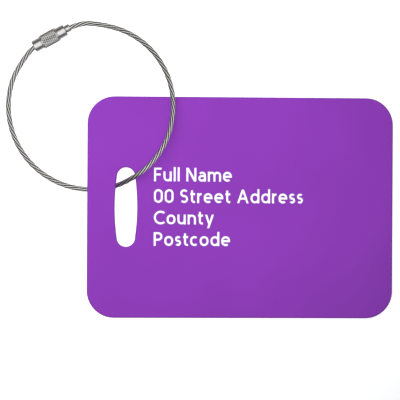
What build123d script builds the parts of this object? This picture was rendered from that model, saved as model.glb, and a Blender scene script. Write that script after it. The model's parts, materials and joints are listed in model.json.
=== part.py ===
"""Luggage tag: an anodised aluminium plate with filled lettering, on a wire rope ring."""

from build123d import *
from math import cos, hypot, radians, sin, tan
import os

# --- driving dimensions, millimetres and degrees ---------------------------------------------
PLATE_LENGTH = 90.0
PLATE_HEIGHT = 65.0
PLATE_THICKNESS = 1.5
CORNER_RADIUS = 8.0
EDGE_ROUND = 0.5

SLOT_X = -33.65
SLOT_LENGTH = 23.3
SLOT_WIDTH = 6.6
SLOT_END_RADIUS = 2.65
SLOT_EDGE_ROUND = 0.4

REST_TILT = 1.8  # the rope under the slotted end lifts it; the other end lies on the table

STROKE = 0.6
CAP = 4.0  # the letters' heights are those of their outlines, above the baseline
X_HEIGHT = 2.9
ASCENDER = 4.15
DESCENDER = -1.1
RECESS_DEPTH = 0.2
ENAMEL_THICKNESS = 0.15
LETTER_GAP = 1.16  # between the stroke centrelines of neighbouring letters
WORD_SPACE = 1.4
TEXT_LEFT = -25.15
FIRST_BASELINE = 7.62
LINE_PITCH = 6.31
LINES = {
    "lettering_name": "Full Name",
    "lettering_street": "00 Street Address",
    "lettering_county": "County",
    "lettering_postcode": "Postcode",
}

ROPE_DIAMETER = 1.5

BARREL_CENTRE = Vector(-56.42, 49.6, 2.12)
BARREL_ANGLE = 29.0
BARREL_LENGTH = 10.5
BARREL_END_LENGTH = 2.55
BARREL_END_RADIUS = 1.75
KNURL_RADIUS = 2.1
THREAD_BORE_RADIUS = 1.275
LIP_THICKNESS = 0.9
LIP_HOLE_RADIUS = 1.1

FERRULE_RADIUS = 1.2
FERRULE_LENGTH = 2.6
ROPE_BORE_RADIUS = 0.76
FERRULE_ROPE_DEPTH = 2.3

STUD_THREAD_RADIUS = 1.225
STUD_THREAD_LENGTH = 4.0
STUD_CRIMP_RADIUS = 1.12
STUD_CRIMP_LENGTH = 1.6
STUD_ROPE_DEPTH = 3.4

# --- places on the closure's axis, as distances from the barrel's plain end --------------------
AXIS = Vector(cos(radians(BARREL_ANGLE)), sin(radians(BARREL_ANGLE)), 0)
FERRULE_START = LIP_THICKNESS + 0.05
ROPE_START = FERRULE_START + FERRULE_ROPE_DEPTH
STUD_END = BARREL_LENGTH + STUD_CRIMP_LENGTH
ROPE_END = STUD_END - STUD_ROPE_DEPTH


def on_axis(distance):
    """The point on the closure's axis at that distance from the barrel's plain end."""
    return BARREL_CENTRE + AXIS * (distance - BARREL_LENGTH / 2)


# --- the wire rope's route, end to end ---------------------------------------------------------
ROPE_ROUTE = [
    on_axis(ROPE_START),
    (-61.20, 46.95, 2.12),
    (-63.87, 43.78, 1.85),
    (-67.85, 37.20, 1.30),
    (-69.05, 28.34, 0.85),
    (-66.81, 19.18, 0.75),
    (-61.13, 11.31, 0.75),
    (-52.72, 6.18, 0.75),
    (-43.80, 4.79, 0.75),
    (-37.43, 5.75, 0.85),
    (-30.44, 9.02, 5.50),
    (-25.53, 13.20, 5.60),
    (-21.09, 20.17, 5.50),
    (-19.46, 29.44, 5.10),
    (-21.09, 38.40, 4.40),
    (-25.87, 46.17, 3.55),
    (-33.24, 51.65, 2.80),
    (-41.80, 53.95, 2.25),
    (-48.29, 54.11, 2.12),
    on_axis(ROPE_END),
]


# --- the stroke alphabet ----------------------------------------------------------------------
# A glyph is its width between stroke centrelines, and its strokes. A stroke is ("line", start, end),
# drawn upwards or to the right and cut level at its ends, or ("arc", centre, radius, start, sweep).
HALF = STROKE / 2
OVAL = 1.0  # half the width of a bowl
ARCH = 0.92
NARROW_ARCH = 0.82
ROUND_CAP = CAP / 2 - HALF
TOP_BAR = CAP - HALF
X_BAR = X_HEIGHT - HALF


def oval(half, top, opening=0):
    """A bowl from the baseline to that height, open on its right by that angle each way."""
    low = HALF + half
    high = top - HALF - half
    strokes = [
        ("arc", (half, high), half, opening, 180 - opening),
        ("line", (0, low), (0, high)),
        ("arc", (half, low), half, 180, 180 - opening),
    ]
    return strokes if opening else strokes + [("line", (2 * half, low), (2 * half, high))]


def arch(x, half):
    """A stem's arch to the next stem, and that stem."""
    spring = X_BAR - half
    return [("arc", (x + half, spring), half, 0, 180), ("line", (x + 2 * half, 0), (x + 2 * half, spring))]


def double_curl(top):
    """Two stacked curls, as in an S."""
    half = (top - STROKE) / 4
    upper = ("arc", (half, top - HALF - half), half, 35, 235)
    lower = ("arc", (half, HALF + half), half, 90, -235)
    return 2 * half, [upper, lower]


def stem(x, top):
    """An upright stroke from the baseline."""
    return ("line", (x, 0), (x, top))


GLYPHS = {
    "F": (1.6, [stem(0, CAP), ("line", (0, TOP_BAR), (1.9, TOP_BAR)), ("line", (0, 2.0), (1.65, 2.0))]),
    "N": (2.35, [stem(0, CAP), ("line", (2.3, 0), (0.05, CAP)), stem(2.35, CAP)]),
    "A": (
        2.8,
        [
            ("line", (0, 0), (1.4, CAP)),
            ("line", (2.8, 0), (1.4, CAP)),
            ("line", (0.45, 1.35), (2.35, 1.35)),
        ],
    ),
    "P": (
        1.95,
        [
            stem(0, CAP),
            ("line", (0, TOP_BAR), (1.0, TOP_BAR)),
            ("arc", (1.0, TOP_BAR - 0.95), 0.95, 90, -180),
            ("line", (0, TOP_BAR - 1.9), (1.0, TOP_BAR - 1.9)),
        ],
    ),
    "C": (2.6, [("arc", (ROUND_CAP, CAP / 2), ROUND_CAP, 50, 260)]),
    "S": double_curl(CAP),
    "0": (2 * OVAL, oval(OVAL, CAP)),
    "a": (
        1.65,
        [
            ("arc", (0.85, X_BAR - 0.8), 0.8, 145, -145),
            stem(1.65, X_BAR - 0.8),
            ("line", (0.65, 1.6), (1.65, 1.6)),
            ("arc", (0.65, 0.95), 0.65, 90, 180),
            ("line", (0.65, HALF), (0.95, HALF)),
            ("arc", (0.95, 1.0), 0.7, -90, 90),
        ],
    ),
    "c": (1.65, oval(0.95, X_HEIGHT, 48)),
    "d": (2 * OVAL, oval(OVAL, X_HEIGHT) + [stem(2 * OVAL, ASCENDER)]),
    "e": (
        2 * OVAL,
        [
            ("arc", (OVAL, X_BAR - OVAL), OVAL, 0, 180),
            ("line", (0, HALF + OVAL), (0, X_BAR - OVAL)),
            ("arc", (OVAL, HALF + OVAL), OVAL, 180, 128),
            ("line", (0, 1.45), (2 * OVAL, 1.45)),
            ("line", (2 * OVAL, 1.45 - HALF), (2 * OVAL, X_BAR - OVAL)),
        ],
    ),
    "l": (0, [stem(0, ASCENDER)]),
    "m": (4 * NARROW_ARCH, [stem(0, X_HEIGHT)] + arch(0, NARROW_ARCH) + arch(2 * NARROW_ARCH, NARROW_ARCH)),
    "n": (2 * ARCH, [stem(0, X_HEIGHT)] + arch(0, ARCH)),
    "o": (2 * OVAL, oval(OVAL, X_HEIGHT)),
    "r": (0.75, [stem(0, X_HEIGHT), ("arc", (ARCH, X_BAR - ARCH), ARCH, 180, -95)]),
    "s": double_curl(X_HEIGHT),
    "t": (
        0.95,
        [
            ("line", (0.3, 0.95), (0.3, 3.7)),
            ("line", (-0.25, X_BAR), (1.2, X_BAR)),
            ("arc", (0.95, 0.95), 0.65, 180, 90),
            ("line", (0.95, HALF), (1.2, HALF)),
        ],
    ),
    "u": (
        2 * ARCH,
        [("line", (0, HALF + ARCH), (0, X_HEIGHT)), ("arc", (ARCH, HALF + ARCH), ARCH, 180, 180)]
        + [stem(2 * ARCH, X_HEIGHT)],
    ),
    "y": (2.0, [("line", (1.0, 0), (0, X_HEIGHT)), ("line", (0.62, DESCENDER), (2.0, X_HEIGHT))]),
}


def stroke_face(stroke):
    """The outline of one stroke of a glyph."""
    if stroke[0] == "arc":
        return trace(CenterArc(*stroke[1:]), STROKE)
    (x0, y0), (x1, y1) = stroke[1:]
    if y0 == y1:
        corners = [(x0, y0 - HALF), (x1, y0 - HALF), (x1, y0 + HALF), (x0, y0 + HALF)]
    else:
        reach = HALF * hypot(x1 - x0, y1 - y0) / (y1 - y0)
        corners = [(x0 - reach, y0), (x0 + reach, y0), (x1 + reach, y1), (x1 - reach, y1)]
    return make_face(Polyline(*corners, close=True))


def glyph_sketch(letter):
    """One letter's outline, with its first stem's centreline at x = 0 and its baseline at y = 0."""
    faces = [stroke_face(stroke) for stroke in GLYPHS[letter][1]]
    return faces[0] + faces[1:] if len(faces) > 1 else faces[0]


def line_sketches(text, baseline):
    """The outlines of one line of lettering, in the plate's own plane."""
    made = {}
    sketches = []
    x = TEXT_LEFT
    for letter in text:
        if letter == " ":
            x += WORD_SPACE
            continue
        if letter not in made:
            made[letter] = glyph_sketch(letter)
        sketches.append(Pos(x, baseline) * made[letter])
        x += GLYPHS[letter][0] + LETTER_GAP
    return sketches


# --- the plate and its lettering, made flat around the plate's middle -----------------------------
def slot_sketch():
    """The strap slot: two bowed sides and two round ends, tangent where they meet."""
    cap_y = SLOT_LENGTH / 2 - SLOT_END_RADIUS
    half = SLOT_WIDTH / 2
    side_radius = (cap_y**2 + half**2 - SLOT_END_RADIUS**2) / (2 * (half - SLOT_END_RADIUS))
    reach = side_radius / (side_radius - SLOT_END_RADIUS)
    join_x = (half - side_radius) + (side_radius - half) * reach
    join_y = cap_y * reach
    right = ThreePointArc((join_x, -join_y), (half, 0), (join_x, join_y))
    top = ThreePointArc((join_x, join_y), (0, SLOT_LENGTH / 2), (-join_x, join_y))
    left = ThreePointArc((-join_x, join_y), (-half, 0), (-join_x, -join_y))
    bottom = ThreePointArc((-join_x, -join_y), (0, -SLOT_LENGTH / 2), (join_x, -join_y))
    return Pos(SLOT_X, 0) * make_face([right, top, left, bottom])


def plate_blank():
    """The plate with its slot and its rounded edges, before engraving."""
    outline = RectangleRounded(PLATE_LENGTH, PLATE_HEIGHT, CORNER_RADIUS)
    blank = extrude(outline, PLATE_THICKNESS / 2, both=True)
    rim = blank.faces().sort_by(Axis.Z)[-1].edges() + blank.faces().sort_by(Axis.Z)[0].edges()
    blank = fillet(rim, EDGE_ROUND)
    blank -= extrude(slot_sketch(), PLATE_THICKNESS, both=True)
    slot_zone = SLOT_WIDTH + 1
    mouth = [
        edge
        for face in (blank.faces().sort_by(Axis.Z)[-1], blank.faces().sort_by(Axis.Z)[0])
        for wire in face.inner_wires()
        for edge in wire.edges()
        if abs(edge.center().X - SLOT_X) < slot_zone
    ]
    return fillet(mouth, SLOT_EDGE_ROUND)


def lettering(text, baseline):
    """The recesses that one line needs, and the enamel that fills them."""
    floor_z = PLATE_THICKNESS / 2 - RECESS_DEPTH
    cuts = []
    fills = []
    for sketch in line_sketches(text, baseline):
        outline = Pos(0, 0, floor_z) * sketch
        cuts.append(extrude(outline, 2 * RECESS_DEPTH, dir=(0, 0, 1)))
        fills.append(extrude(outline, ENAMEL_THICKNESS, dir=(0, 0, 1)))
    return cuts, fills


def rest_place():
    """From the flat plate to where it lies: one end down on the table and the slotted end up."""
    tilt = radians(REST_TILT)
    low_x = PLATE_LENGTH / 2 - EDGE_ROUND
    low_z = PLATE_THICKNESS / 2 - EDGE_ROUND
    rise = low_x * sin(tilt) + low_z * cos(tilt) + EDGE_ROUND
    return Pos(0, 0, rise) * Rot(0, REST_TILT, 0)


# --- the ring and its closure -----------------------------------------------------------------
def route_radii(points):
    """The largest tangent arc at each corner that leaves a tenth of the shorter run straight."""
    radii = []
    for before, corner, after in zip(points, points[1:], points[2:]):
        into = corner - before
        out = after - corner
        half_turn = radians(into.get_angle(out)) / 2
        radii.append(0.45 * min(into.length, out.length) / tan(half_turn))
    return radii


def wire_rope():
    """The rope as a plain round tube from ferrule to stud."""
    points = [Vector(*point) for point in ROPE_ROUTE]
    radii = route_radii(points)
    path = FilletPolyline(*points, radius=radii)
    section = Plane(origin=path @ 0, z_dir=path % 0) * Circle(ROPE_DIAMETER / 2)
    tube = sweep(section, path=path)
    ideal = Circle(ROPE_DIAMETER / 2).area * path.length
    print("rope length", round(path.length, 1), "mm, volume ratio", round(tube.volume / ideal, 4))
    print("rope radii", [round(radius, 1) for radius in radii])
    return tube


def turned(profile):
    """A solid of revolution about the closure's axis, from (distance along it, radius) corners."""
    plane = Plane(origin=on_axis(0), x_dir=AXIS, z_dir=AXIS.cross(Vector(0, 0, 1)))
    face = plane * make_face(Polyline(*profile, close=True))
    return revolve(face, Axis(on_axis(0), AXIS))


def barrel_sleeve():
    """The knurled nut that spins on the rope: a lip at one end, an open thread at the other."""
    chamfer = 0.15
    flare = 0.25
    knurl_start = BARREL_END_LENGTH
    knurl_end = BARREL_LENGTH - BARREL_END_LENGTH
    return turned(
        [
            (0, LIP_HOLE_RADIUS + flare),
            (0, BARREL_END_RADIUS - chamfer),
            (chamfer, BARREL_END_RADIUS),
            (knurl_start, BARREL_END_RADIUS),
            (knurl_start + chamfer, KNURL_RADIUS),
            (knurl_end - chamfer, KNURL_RADIUS),
            (knurl_end, BARREL_END_RADIUS),
            (BARREL_LENGTH - chamfer, BARREL_END_RADIUS),
            (BARREL_LENGTH, BARREL_END_RADIUS - chamfer),
            (BARREL_LENGTH, THREAD_BORE_RADIUS),
            (LIP_THICKNESS, THREAD_BORE_RADIUS),
            (LIP_THICKNESS, LIP_HOLE_RADIUS),
            (flare, LIP_HOLE_RADIUS),
        ]
    )


def stop_ferrule():
    """The crimped stop on the rope's end that the barrel's lip holds."""
    groove = 0.12
    start = FERRULE_START
    end = start + FERRULE_LENGTH
    return turned(
        [
            (start, ROPE_BORE_RADIUS),
            (start, FERRULE_RADIUS),
            (start + 0.8, FERRULE_RADIUS),
            (start + 0.95, FERRULE_RADIUS - groove),
            (start + 1.65, FERRULE_RADIUS - groove),
            (start + 1.8, FERRULE_RADIUS),
            (end, FERRULE_RADIUS),
            (end, 0),
            (start + FERRULE_ROPE_DEPTH, 0),
            (start + FERRULE_ROPE_DEPTH, ROPE_BORE_RADIUS),
        ]
    )


def threaded_stud():
    """The screw on the rope's other end: a threaded shank in the barrel and a crimp outside it."""
    chamfer = 0.2
    start = BARREL_LENGTH - STUD_THREAD_LENGTH
    return turned(
        [
            (start, 0),
            (start, STUD_THREAD_RADIUS - chamfer),
            (start + chamfer, STUD_THREAD_RADIUS),
            (BARREL_LENGTH - chamfer, STUD_THREAD_RADIUS),
            (BARREL_LENGTH, STUD_CRIMP_RADIUS),
            (STUD_END, STUD_CRIMP_RADIUS),
            (STUD_END, ROPE_BORE_RADIUS),
            (ROPE_END, ROPE_BORE_RADIUS),
            (ROPE_END, 0),
        ]
    )


def main():
    os.makedirs("parts", exist_ok=True)
    rest = rest_place()
    plate = plate_blank()
    nodes = {}
    for row, (name, text) in enumerate(LINES.items()):
        cuts, fills = lettering(text, FIRST_BASELINE - row * LINE_PITCH)
        plate -= cuts
        nodes[name] = Compound(children=[rest * fill for fill in fills])
    nodes["tag_plate"] = rest * plate
    nodes["wire_rope"] = wire_rope()
    nodes["barrel_sleeve"] = barrel_sleeve()
    nodes["stop_ferrule"] = stop_ferrule()
    nodes["threaded_stud"] = threaded_stud()
    for name, shape in nodes.items():
        export_step(shape, os.path.join("parts", name + ".step"))


main()
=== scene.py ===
"""Looks for the luggage tag: stranded rope, knurled barrel, anodised plate and white lettering."""
import json
import math

import bmesh
import bpy
import numpy as np
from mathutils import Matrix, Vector


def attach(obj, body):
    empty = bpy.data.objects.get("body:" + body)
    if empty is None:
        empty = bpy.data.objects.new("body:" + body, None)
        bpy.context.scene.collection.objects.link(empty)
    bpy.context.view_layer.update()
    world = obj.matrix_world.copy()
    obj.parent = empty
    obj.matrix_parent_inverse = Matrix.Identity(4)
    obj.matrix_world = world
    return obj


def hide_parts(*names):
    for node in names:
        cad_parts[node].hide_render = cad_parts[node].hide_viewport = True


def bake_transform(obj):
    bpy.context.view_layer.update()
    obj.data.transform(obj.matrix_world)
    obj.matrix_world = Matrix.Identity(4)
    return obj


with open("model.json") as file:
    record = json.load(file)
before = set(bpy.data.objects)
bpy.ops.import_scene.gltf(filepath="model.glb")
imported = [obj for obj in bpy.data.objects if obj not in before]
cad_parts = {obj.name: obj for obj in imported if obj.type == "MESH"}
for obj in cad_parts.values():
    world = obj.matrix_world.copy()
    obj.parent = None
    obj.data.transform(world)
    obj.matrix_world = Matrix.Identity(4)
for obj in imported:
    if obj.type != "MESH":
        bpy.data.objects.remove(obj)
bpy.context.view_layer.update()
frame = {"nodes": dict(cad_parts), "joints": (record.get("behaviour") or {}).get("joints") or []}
MM = 0.001

# --- the camera, straight above the tag as in the product view ------------------------------------
VIEW_WIDTH = 117.51 * MM
VIEW_CENTRE = Vector((-11.89, 2.19, 0)) * MM
CAMERA_HEIGHT = 352 * MM
FACE_HEIGHT = 3.0 * MM
CAMERA_ROLL = math.radians(0.3)
SENSOR = 36.0

camera_data = bpy.data.cameras.new("camera")
camera_data.sensor_width = SENSOR
camera_data.lens = SENSOR * (CAMERA_HEIGHT - FACE_HEIGHT) / VIEW_WIDTH
camera_data.clip_start = 0.01
camera = bpy.data.objects.new("camera", camera_data)
camera.location = VIEW_CENTRE + Vector((0, 0, CAMERA_HEIGHT))
camera.rotation_euler = (0, 0, CAMERA_ROLL)
bpy.context.scene.collection.objects.link(camera)
bpy.context.scene.camera = camera
bpy.context.scene.view_settings.view_transform = "Standard"


# --- small helpers ----------------------------------------------------------------------------
def new_material(name):
    """A material with nodes, its node maker, its linker and its Principled shader."""
    material = bpy.data.materials.new(name)
    material.use_nodes = True
    tree = material.node_tree
    return material, tree.nodes, tree.links, tree.nodes["Principled BSDF"]


def noise(nodes, links, vector, scale, detail=3.0, roughness=0.5):
    """A noise texture over a vector output."""
    node = nodes.new("ShaderNodeTexNoise")
    node.inputs["Scale"].default_value = scale
    node.inputs["Detail"].default_value = detail
    node.inputs["Roughness"].default_value = roughness
    links.new(vector, node.inputs["Vector"])
    return node


def ramp(nodes, links, value, stops):
    """A colour ramp over a value, from (position, grey or colour) stops."""
    node = nodes.new("ShaderNodeValToRGB")
    elements = node.color_ramp.elements
    elements.remove(elements[1])
    for index, (position, colour) in enumerate(stops):
        element = elements.new(position) if index else elements[0]
        element.position = position
        rgb = (colour,) * 3 if isinstance(colour, (int, float)) else colour
        element.color = (*rgb, 1.0)
    links.new(value, node.inputs["Fac"])
    return node


def bump(nodes, links, shader, height, strength, distance):
    """A bump from a height, in metres at full strength."""
    node = nodes.new("ShaderNodeBump")
    node.inputs["Strength"].default_value = strength
    node.inputs["Distance"].default_value = distance
    links.new(height, node.inputs["Height"])
    links.new(node.outputs["Normal"], shader.inputs["Normal"])


def object_coordinates(nodes):
    """The piece's own coordinates, in metres."""
    return nodes.new("ShaderNodeTexCoord").outputs["Object"]


# --- materials --------------------------------------------------------------------------------
def anodised_plate():
    """Purple satin anodising: a fine bead-blasted grain and a slow drift of the dye's colour."""
    material, nodes, links, shader = new_material("anodised_purple")
    place = object_coordinates(nodes)
    drift = noise(nodes, links, place, 38.0, 2.0)
    grain = noise(nodes, links, place, 5200.0, 2.0)
    dyes = [(0.3, (0.187, 0.025, 0.332)), (0.7, (0.203, 0.028, 0.36))]
    colour = ramp(nodes, links, drift.outputs["Fac"], dyes)
    links.new(colour.outputs["Color"], shader.inputs["Base Color"])
    rough = ramp(nodes, links, grain.outputs["Fac"], [(0.3, 0.38), (0.7, 0.46)])
    links.new(rough.outputs["Color"], shader.inputs["Roughness"])
    shader.inputs["Metallic"].default_value = 0.15
    shader.inputs["Specular IOR Level"].default_value = 0.3
    bump(nodes, links, shader, grain.outputs["Fac"], 0.25, 0.00001)
    return material


def white_enamel():
    """The matt white filling, with the slight unevenness of paint wiped into a groove."""
    material, nodes, links, shader = new_material("white_enamel")
    place = object_coordinates(nodes)
    wipe = noise(nodes, links, place, 900.0, 3.0)
    colour = ramp(nodes, links, wipe.outputs["Fac"], [(0.3, 0.73), (0.7, 0.79)])
    links.new(colour.outputs["Color"], shader.inputs["Base Color"])
    rough = ramp(nodes, links, wipe.outputs["Fac"], [(0.3, 0.5), (0.7, 0.62)])
    links.new(rough.outputs["Color"], shader.inputs["Roughness"])
    bump(nodes, links, shader, wipe.outputs["Fac"], 0.3, 0.00002)
    return material


def steel(name, tint, low, high, grain_scale):
    """Bright stainless steel with fine marks, between a low and a high roughness."""
    material, nodes, links, shader = new_material(name)
    marks = noise(nodes, links, object_coordinates(nodes), grain_scale, 3.0)
    dull = [0.88 * channel for channel in tint]
    colour = ramp(nodes, links, marks.outputs["Fac"], [(0.3, dull), (0.7, tint)])
    links.new(colour.outputs["Color"], shader.inputs["Base Color"])
    rough = ramp(nodes, links, marks.outputs["Fac"], [(0.3, high), (0.7, low)])
    links.new(rough.outputs["Color"], shader.inputs["Roughness"])
    shader.inputs["Metallic"].default_value = 1.0
    bump(nodes, links, shader, marks.outputs["Fac"], 0.2, 0.000008)
    return material


def rope_steel():
    """Drawn steel wire, with painted shade and lubricant darkening the grooves between the strands."""
    material = steel("rope_steel", (0.95, 0.93, 0.9), 0.14, 0.24, 3500.0)
    nodes = material.node_tree.nodes
    links = material.node_tree.links
    shader = nodes["Principled BSDF"]
    crown = nodes.new("ShaderNodeAttribute")
    crown.attribute_name = "crown"
    # painted shade: the base colour falls to nearly black deep in the grooves between the strands
    groove_shade = ramp(nodes, links, crown.outputs["Fac"], [(0.82, 0.02), (0.89, 0.2), (0.95, 1.0)])
    groove_shading = nodes.new("ShaderNodeMix")
    groove_shading.data_type = "RGBA"
    groove_shading.blend_type = "MULTIPLY"
    groove_shading.inputs["Factor"].default_value = 1.0
    links.new(shader.inputs["Base Color"].links[0].from_socket, groove_shading.inputs["A"])
    links.new(groove_shade.outputs["Color"], groove_shading.inputs["B"])
    links.new(groove_shading.outputs["Result"], shader.inputs["Base Color"])
    return material


PLATE_FINISH = anodised_plate()
ENAMEL_FINISH = white_enamel()
ROPE_FINISH = rope_steel()
BARREL_FINISH = steel("barrel_steel", (0.68, 0.66, 0.64), 0.12, 0.24, 2500.0)
FITTING_FINISH = steel("fitting_steel", (0.64, 0.625, 0.61), 0.16, 0.3, 2500.0)


def finish_node(name, material):
    """A CAD node keeps its shape and gets a procedural finish."""
    node = frame["nodes"][name]
    node.data.materials.clear()
    node.data.materials.append(material)
    return node


finish_node("tag_plate", PLATE_FINISH)
for line in ("lettering_name", "lettering_street", "lettering_county", "lettering_postcode"):
    finish_node(line, ENAMEL_FINISH)
stop_ferrule = finish_node("stop_ferrule", FITTING_FINISH)


# --- the closure's axis -------------------------------------------------------------------------
spin = next(joint for joint in frame["joints"] if joint["name"] == "barrel_spin")
BARREL_CENTRE = Vector(spin["pos_m"])
AXIS = Vector(spin["axis"]).normalized()
SIDE = AXIS.cross(Vector((0, 0, 1))).normalized()
UP = SIDE.cross(AXIS)
BARREL_LENGTH = 10.5  # mm
ROPE_START = 3.25  # where the rope's two ends lie, as distances along the axis, mm
ROPE_END = 8.7


def on_axis(distance):
    """The point on the closure's axis at that distance from the barrel's plain end, in mm."""
    return BARREL_CENTRE + AXIS * (distance - BARREL_LENGTH / 2) * MM


def add_piece(name, vertices, faces, material):
    """A smooth-shaded mesh piece with its faces turned outwards and its corners kept sharp."""
    mesh = bpy.data.meshes.new(name)
    mesh.from_pydata(vertices, [], faces)
    work = bmesh.new()
    work.from_mesh(mesh)
    bmesh.ops.recalc_face_normals(work, faces=work.faces)
    work.to_mesh(mesh)
    work.free()
    mesh.materials.append(material)
    mesh.polygons.foreach_set("use_smooth", [True] * len(mesh.polygons))
    mesh.set_sharp_from_angle(angle=math.radians(35))
    piece = bpy.data.objects.new(name, mesh)
    bpy.context.scene.collection.objects.link(piece)
    return piece


def lathe(name, rings, segments, material):
    """A mesh turned about the closure's axis.

    A ring is its distance and radius in mm, and what changes that radius by angle or None. A profile that
    starts and ends at radius 0 is closed by its poles, and any other joins its last ring to its first.
    """
    vertices = []
    loops = []
    for distance, radius, change in rings:
        middle = on_axis(distance)
        start = len(vertices)
        if radius == 0:
            vertices.append(middle)
        for step in range(segments if radius else 0):
            angle = 2 * math.pi * step / segments
            reach = (radius + (change(angle, distance) if change else 0.0)) * MM
            outwards = SIDE * (math.cos(angle) * reach) + UP * (math.sin(angle) * reach)
            vertices.append(middle + outwards)
        loops.append(range(start, len(vertices)))
    pairs = list(zip(loops, loops[1:]))
    if rings[0][1]:
        pairs.append((loops[-1], loops[0]))
    faces = []
    for near, far in pairs:
        for step in range(segments):
            after = (step + 1) % segments
            corners = [near[step % len(near)], near[after % len(near)]]
            corners += [far[after % len(far)], far[step % len(far)]]
            faces.append(tuple(dict.fromkeys(corners)))
    return add_piece(name, vertices, faces, material)


# --- the barrel: smooth ends, plain rims, and a diamond knurl cut into its middle -----------------------
KNURL_STARTS = 22
KNURL_RADIUS = 2.1
KNURL_DEPTH = 0.2
KNURL_PITCH = 0.8  # along the axis, mm
KNURL_START = 3.06
KNURL_SEGMENTS = KNURL_STARTS * 8
KNURL_ROWS = round((BARREL_LENGTH - 2 * KNURL_START) / KNURL_PITCH * 8)
BARREL_END = [  # distance from the end and radius, up to the knurl
    (0.0, 1.58),
    (0.04, 1.68),
    (0.14, 1.75),
    (0.17, 1.75),
    (2.46, 1.75),
    (2.5, 1.75),
    (2.55, 1.78),
    (2.57, 1.98),
    (2.63, 2.06),
    (2.7, 2.09),
    (2.86, 2.09),
    (2.92, 2.05),
    (2.95, 1.95),
    (3.03, 1.95),
]
LIP_HOLE = [(0.9, 1.1), (0.25, 1.1), (0.1, 1.15), (0.02, 1.27), (0.0, 1.4)]
THREAD_BORE = [
    (BARREL_LENGTH, 1.42),
    (BARREL_LENGTH - 0.03, 1.36),
    (BARREL_LENGTH - 0.12, 1.28),
    (0.9, 1.28),
]


def groove(turn):
    """How deep a V groove is at that part of its turn, from 0 at its lands to 1 at its root."""
    return abs(2 * (turn - math.floor(turn)) - 1)


def knurl(angle, distance):
    """Two crossing families of grooves leave diamonds."""
    around = KNURL_STARTS * angle / (2 * math.pi)
    along = distance / KNURL_PITCH
    return -KNURL_DEPTH * max(groove(around + along), groove(around - along))


def plain_rings(outline):
    """Round rings for the lathe, from (distance, radius) points."""
    return [(distance, radius, None) for distance, radius in outline]


def make_barrel():
    """The sleeve, from the hole in its lip round the outside and back through its bore."""
    rings = plain_rings(LIP_HOLE + BARREL_END)
    for distance in np.linspace(KNURL_START, BARREL_LENGTH - KNURL_START, KNURL_ROWS + 1):
        rings.append((distance, KNURL_RADIUS, knurl))
    rings += plain_rings((BARREL_LENGTH - distance, radius) for distance, radius in reversed(BARREL_END))
    rings += plain_rings(THREAD_BORE)
    return lathe("barrel_turned", rings, KNURL_SEGMENTS, BARREL_FINISH)


barrel = make_barrel()
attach(barrel, "barrel")
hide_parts("barrel_sleeve")


# --- the stud: a real thread inside the barrel, and its crimp outside ---------------------------------
THREAD_PITCH = 0.45
THREAD_MAJOR = 1.225
THREAD_DEPTH = 0.26
THREAD_START = 6.6
THREAD_END = 10.35
THREAD_LEAD_IN = 0.2
THREAD_RUNOUT = 0.4
CRIMP_RADIUS = 1.12
CRIMP_START = 10.8
CRIMP_END = 11.95
JAW_MIDDLE = 11.4
JAW_WIDTH = 0.2
JAW_DEPTH = 0.05
STUD_SEGMENTS = 48
STUD_TIP = [(6.5, 0), (6.5, 0.95), (6.54, 1.0)]
STUD_NECK = [(10.42, 1.12), (10.5, 0.95), (10.64, 0.95), (10.67, 1.06), (10.73, 1.11)]
CRIMP_MOUTH = [(12.03, 1.1), (12.09, 1.04), (12.1, 0.98), (12.1, 0.82), (12.0, 0.76)]
ROPE_SOCKET = [(ROPE_END, 0.76), (ROPE_END, 0)]


def thread(angle, distance):
    """A helical V groove that fades at both its ends."""
    turn = distance / THREAD_PITCH - angle / (2 * math.pi)
    runout = (THREAD_END - distance) / THREAD_RUNOUT
    lead_in = (distance - THREAD_START) / THREAD_LEAD_IN
    fade = max(0.0, min(1.0, runout, lead_in))
    return -THREAD_DEPTH * fade * groove(turn)


def crimp(angle, distance):
    """A shallow jaw mark pressed into the crimp tube."""
    jaw = math.exp(-(((distance - JAW_MIDDLE) / JAW_WIDTH) ** 2))
    return -JAW_DEPTH * jaw * (0.6 + 0.4 * math.cos(6 * angle))


def make_stud():
    """The threaded shank, its neck and the crimped tube that holds the rope's end."""
    rings = plain_rings(STUD_TIP)
    for distance in np.arange(THREAD_START, THREAD_END, THREAD_PITCH / 10):
        rings.append((distance, THREAD_MAJOR, thread))
    rings += plain_rings(STUD_NECK)
    for distance in np.linspace(CRIMP_START, CRIMP_END, 16):
        rings.append((distance, CRIMP_RADIUS, crimp))
    rings += plain_rings(CRIMP_MOUTH + ROPE_SOCKET)
    return lathe("stud_turned", rings, STUD_SEGMENTS, FITTING_FINISH)


stud = make_stud()
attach(stud, "stud")
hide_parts("threaded_stud")


# --- the wire rope ------------------------------------------------------------------------------
ROPE_DIAMETER = 1.5 * MM
ROUTE = [
    on_axis(ROPE_START),
    Vector((-61.20, 46.95, 2.12)) * MM,
    Vector((-63.87, 43.78, 1.85)) * MM,
    Vector((-67.85, 37.20, 1.30)) * MM,
    Vector((-69.05, 28.34, 0.85)) * MM,
    Vector((-66.81, 19.18, 0.75)) * MM,
    Vector((-61.13, 11.31, 0.75)) * MM,
    Vector((-52.72, 6.18, 0.75)) * MM,
    Vector((-43.80, 4.79, 0.75)) * MM,
    Vector((-37.43, 5.75, 0.85)) * MM,
    Vector((-30.44, 9.02, 5.50)) * MM,
    Vector((-25.53, 13.20, 5.60)) * MM,
    Vector((-21.09, 20.17, 5.50)) * MM,
    Vector((-19.46, 29.44, 5.10)) * MM,
    Vector((-21.09, 38.40, 4.40)) * MM,
    Vector((-25.87, 46.17, 3.55)) * MM,
    Vector((-33.24, 51.65, 2.80)) * MM,
    Vector((-41.80, 53.95, 2.25)) * MM,
    Vector((-48.29, 54.11, 2.12)) * MM,
    on_axis(ROPE_END),
]


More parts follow.
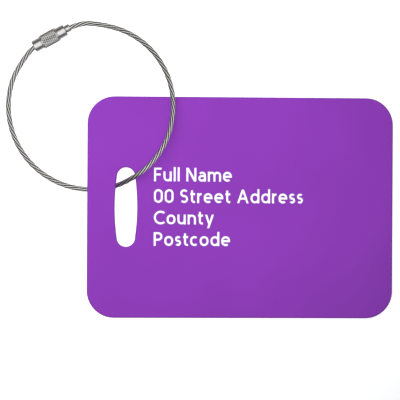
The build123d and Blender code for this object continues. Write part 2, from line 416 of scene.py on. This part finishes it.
def spline_line(points, resolution):
    """Points along the NURBS spline whose control points are the route."""
    curve = bpy.data.curves.new("rope_route", "CURVE")
    curve.dimensions = "3D"
    spline = curve.splines.new("NURBS")
    spline.points.add(len(points) - 1)
    for point, place in zip(spline.points, points):
        point.co = (*place, 1.0)
    spline.order_u = 3
    spline.use_endpoint_u = True
    spline.resolution_u = resolution
    holder = bpy.data.objects.new("rope_route", curve)
    bpy.context.scene.collection.objects.link(holder)
    bpy.context.view_layer.update()
    mesh = bpy.data.meshes.new_from_object(holder)
    line = [vertex.co.copy() for vertex in mesh.vertices]
    bpy.data.objects.remove(holder)
    bpy.data.meshes.remove(mesh)
    bpy.data.curves.remove(curve)
    return line


def even_line(line, step):
    """The same line at even steps."""
    lengths = [0.0]
    for a, b in zip(line, line[1:]):
        lengths.append(lengths[-1] + (b - a).length)
    count = max(2, round(lengths[-1] / step))
    places = np.linspace(0, lengths[-1], count + 1)
    columns = [np.interp(places, lengths, [point[axis] for point in line]) for axis in range(3)]
    return np.array(columns).T, places


def moving_axes(line):
    """Two normals at each point that turn as little as they can along the line."""
    tangents = np.gradient(line, axis=0)
    tangents /= np.linalg.norm(tangents, axis=1)[:, None]
    first = np.cross(tangents[0], (0.0, 0.0, 1.0))
    first /= np.linalg.norm(first)
    firsts = [first]
    for tangent in tangents[1:]:
        side = firsts[-1] - tangent * np.dot(firsts[-1], tangent)
        firsts.append(side / np.linalg.norm(side))
    firsts = np.array(firsts)
    return firsts, np.cross(tangents, firsts)


STRANDS = 6
STRAND_CIRCLE = 0.5 * MM  # radius on which the strands' middles lie
CORE_RADIUS = 0.25 * MM
CORE_SIDES = 8
ROPE_LAY = 14.6 * MM
STRAND_LAY = 6.6 * MM
ROPE_STEP = 0.4 * MM
ROUTE_RESOLUTION = 24
WIRES = 9  # in a strand's outer layer, pressed together
WIRE_CIRCLE = 0.15 * MM  # radius on which those wires' middles lie
WIRE_RADIUS = 0.1 * MM
WIRE_SIDES = 4


def strand_outline():
    """A strand's radii: the outline of its outer wires, each a circle that runs into its neighbours."""
    radii = []
    for side in range(WIRES * WIRE_SIDES):
        turn = (side % WIRE_SIDES) / WIRE_SIDES * 2 * math.pi / WIRES
        turn = min(turn, 2 * math.pi / WIRES - turn)
        bulge = math.sqrt(WIRE_RADIUS**2 - (WIRE_CIRCLE * math.sin(turn)) ** 2)
        radii.append(WIRE_CIRCLE * math.cos(turn) + bulge)
    return radii


def tube_along(line, radii, twist, vertices, faces):
    """Adds a closed tube along a line to the lists; its outline turns with the twist."""
    firsts, seconds = moving_axes(line)
    base = len(vertices)
    sides = len(radii)
    for point, first, second, turn in zip(line, firsts, seconds, twist):
        for side, radius in enumerate(radii):
            angle = turn + 2 * math.pi * side / sides
            vertices.append(point + radius * (math.cos(angle) * first + math.sin(angle) * second))
    for ring in range(len(line) - 1):
        for side in range(sides):
            after = (side + 1) % sides
            low = base + ring * sides
            faces.append((low + side, low + after, low + sides + after, low + sides + side))
    last = base + (len(line) - 1) * sides
    faces.append(tuple(base + side for side in reversed(range(sides))))
    faces.append(tuple(last + side for side in range(sides)))


def make_rope(line, places):
    """Seven strands; each outer one is a bundle of wires, laid against the rope's own twist.

    A vertex attribute holds the distance from the rope's middle, as a share of its radius, so that the
    material can paint shade into the grooves between the strands.
    """
    firsts, seconds = moving_axes(line)
    vertices = []
    faces = []
    tube_along(line, [CORE_RADIUS] * CORE_SIDES, places * 0, vertices, faces)
    axes = [np.repeat(line, CORE_SIDES, axis=0)]
    for strand in range(STRANDS):
        turn = -2 * math.pi * places / ROPE_LAY + 2 * math.pi * strand / STRANDS
        across = np.cos(turn)[:, None] * firsts + np.sin(turn)[:, None] * seconds
        twist = 2 * math.pi * places / STRAND_LAY
        tube_along(line + STRAND_CIRCLE * across, strand_outline(), twist, vertices, faces)
        axes.append(np.repeat(line, WIRES * WIRE_SIDES, axis=0))
    piece = add_piece("rope_stranded", [tuple(vertex) for vertex in vertices], faces, ROPE_FINISH)
    spokes = np.array(vertices).reshape(-1, 3) - np.concatenate(axes)
    crown = piece.data.attributes.new("crown", "FLOAT", "POINT")
    crown.data.foreach_set("value", np.linalg.norm(spokes, axis=1) / (ROPE_DIAMETER / 2))
    return piece


rope_line, rope_places = even_line(spline_line(ROUTE, ROUTE_RESOLUTION), ROPE_STEP)
rope = make_rope(rope_line, rope_places)
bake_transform(rope)
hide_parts("wire_rope")


# --- floor and light -----------------------------------------------------------------------------
def make_floor():
    """A white light table: it glows a little, so shadows on it stay pale."""
    size = 1.5
    mesh = bpy.data.meshes.new("floor")
    corners = [(-size, -size, 0), (size, -size, 0), (size, size, 0), (-size, size, 0)]
    mesh.from_pydata(corners, [], [(0, 1, 2, 3)])
    material, nodes, links, shader = new_material("pale_floor")
    shader.inputs["Base Color"].default_value = (0.5, 0.5, 0.5, 1)
    shader.inputs["Roughness"].default_value = 0.7
    shader.inputs["Emission Color"].default_value = (1, 1, 1, 1)
    shader.inputs["Emission Strength"].default_value = 0.66
    shader.inputs["Specular IOR Level"].default_value = 0.0
    mesh.materials.append(material)
    floor = bpy.data.objects.new("floor", mesh)
    floor.visible_glossy = False
    bpy.context.scene.collection.objects.link(floor)


def place_lamp(name, data, place):
    """A lamp that metal doesn't reflect."""
    lamp = bpy.data.objects.new(name, data)
    lamp.location = place
    lamp.visible_camera = False
    lamp.visible_glossy = False
    bpy.context.scene.collection.objects.link(lamp)
    return lamp


def make_lamps():
    """A soft-edged, shadowless spot for the fall-off over the plate, and a softbox for soft shadows."""
    key = bpy.data.lights.new("key", "SPOT")
    key.spot_size = math.radians(35)
    key.spot_blend = 1.0
    key.energy = 5.4
    key.use_shadow = False
    place_lamp("key", key, (-0.026, 0.026, 0.4))
    fill = bpy.data.lights.new("fill", "AREA")
    fill.size = 0.25
    fill.energy = 0.62
    softbox = place_lamp("fill", fill, (-0.17, 0.17, 0.22))
    softbox.rotation_euler = softbox.location.to_track_quat("Z", "Y").to_euler()


def make_world():
    """A broad overhead softbox that leans to the bottom right, over a dim horizon.

    Metal reflects it. The tag's matt surfaces get an even ambient light, and the camera sees a pale
    backdrop.
    """
    world = bpy.data.worlds.new("studio")
    world.use_nodes = True
    nodes = world.node_tree.nodes
    links = world.node_tree.links
    lean = math.radians(14)
    aside = math.sin(lean) * math.sqrt(0.5)
    towards = Vector((aside, -aside, math.cos(lean)))
    height = nodes.new("ShaderNodeVectorMath")
    height.operation = "DOT_PRODUCT"
    height.inputs[1].default_value = towards
    links.new(nodes.new("ShaderNodeTexCoord").outputs["Generated"], height.inputs[0])
    place = nodes.new("ShaderNodeMapRange")
    place.inputs["From Min"].default_value = -1.0
    links.new(height.outputs["Value"], place.inputs["Value"])
    glow = ramp(
        nodes,
        links,
        place.outputs["Result"],
        [
            (0.0, 0.5),
            (0.18, 0.5),
            (0.37, 0.4),
            (0.5, 0.15),
            (0.587, 0.09),
            (0.687, 0.1),
            (0.765, 0.16),
            (0.821, 0.26),
            (0.8716, 0.47),
            (0.9145, 0.75),
            (0.949, 0.98),
            (1.0, 1.0),
        ],
    )
    studio = nodes["Background"]
    studio.inputs["Strength"].default_value = 1.3
    links.new(glow.outputs["Color"], studio.inputs["Color"])
    rays = nodes.new("ShaderNodeLightPath")
    seen = studio
    for kind, colour in (("Is Diffuse Ray", (0.25, 0.26, 0.28)), ("Is Camera Ray", (0.9, 0.9, 0.9))):
        plain = nodes.new("ShaderNodeBackground")
        plain.inputs["Color"].default_value = (*colour, 1)
        choice = nodes.new("ShaderNodeMixShader")
        links.new(rays.outputs[kind], choice.inputs["Fac"])
        links.new(seen.outputs[0], choice.inputs[1])
        links.new(plain.outputs["Background"], choice.inputs[2])
        seen = choice
    links.new(seen.outputs["Shader"], nodes["World Output"].inputs["Surface"])
    bpy.context.scene.world = world


make_floor()
make_lamps()
make_world()
